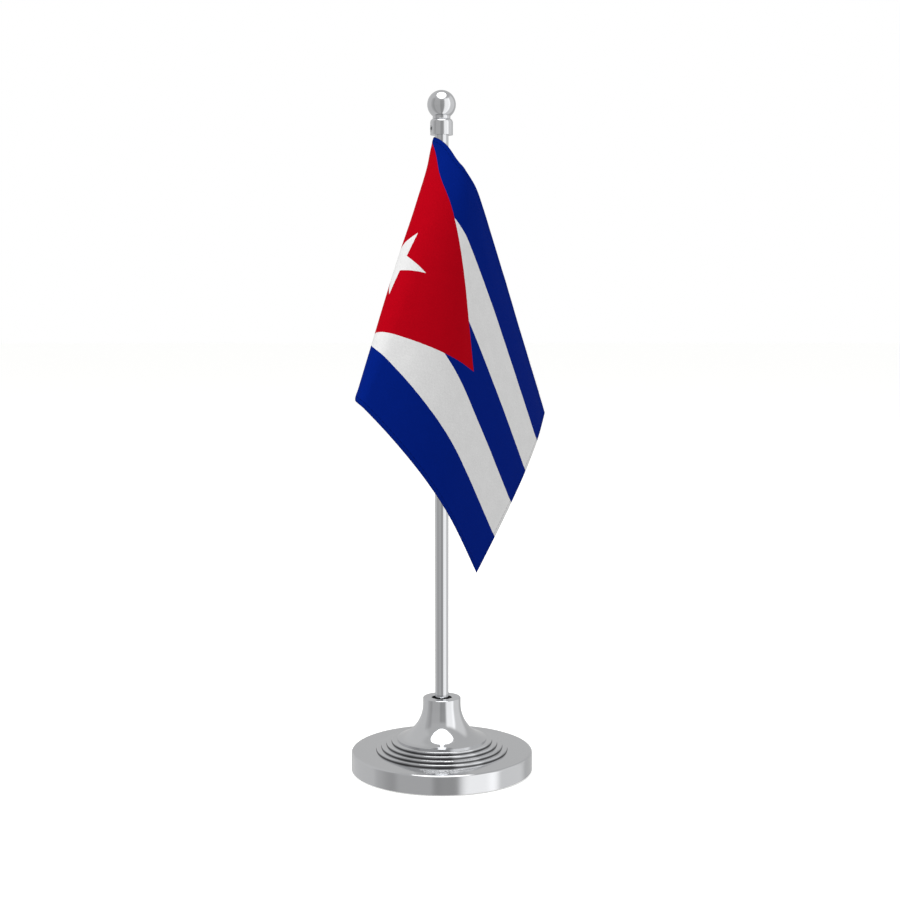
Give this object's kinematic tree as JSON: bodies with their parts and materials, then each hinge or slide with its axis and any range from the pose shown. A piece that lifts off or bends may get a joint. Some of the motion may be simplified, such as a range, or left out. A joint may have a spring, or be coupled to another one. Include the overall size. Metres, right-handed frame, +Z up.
{
  "type": "desk flag stand",
  "caption": "Desk flag stand: round weighted base with ring steps and a trumpet socket, plain pole with a ball finial, and a cloth flag on a sleeve.",
  "frame": {"origin": "centre of the felt pad's underside, on the pole's axis, where the stand rests on the table", "axes": "+Z up along the pole; -Y is the front, from which the flag hangs to the left and right; +X is to the right"},
  "size_m": [0.0889, 0.1124, 0.3],
  "materials": {
    "felt": "pressed felt",
    "ballast": "as cast",
    "base_chrome": "bright chrome plate",
    "pole_chrome": "bright chrome plate",
    "finial_chrome": "bright chrome plate",
    "screw_steel": "zinc plated",
    "set_screw_steel": "black oxide",
    "bush_nylon": "moulded nylon",
    "flag_satin": "satin woven polyester, printed"
  },
  "bodies": {
    "base": {"felt_pad": "felt", "ballast_disc": "ballast", "base_shell": "base_chrome", "clamp_screw": "screw_steel", "lock_washer": "screw_steel", "socket": "base_chrome", "pole_bush": "bush_nylon"},
    "pole": {"pole_tube": "pole_chrome", "foot_plug": "bush_nylon"},
    "finial": {"finial_collar": "finial_chrome", "finial_stud": "screw_steel", "finial_ball": "finial_chrome"},
    "set_screw": {"set_screw": "set_screw_steel"},
    "flag": {"flag_sleeve": "flag_satin", "flag_cloth": "flag_satin"}
  },
  "joints": [
    {"name": "pole_lift", "type": "slide", "parent": "base", "child": "pole", "axis": [0, 0, 1], "range_m": [0, 0.0118]},
    {"name": "finial_lift", "type": "slide", "parent": "pole", "child": "finial", "axis": [0, 0, 1], "range_m": [0, 0.0063]},
    {"name": "set_screw_travel", "type": "slide", "parent": "finial", "child": "set_screw", "axis": [-0.9272, -0.3746, 0], "range_m": [0, 0.001]},
    {"name": "flag_swivel", "type": "hinge", "parent": "pole", "child": "flag", "pos_m": [0, 0, 0.225], "axis": [0, 0, 1], "continuous": true}
  ]
}
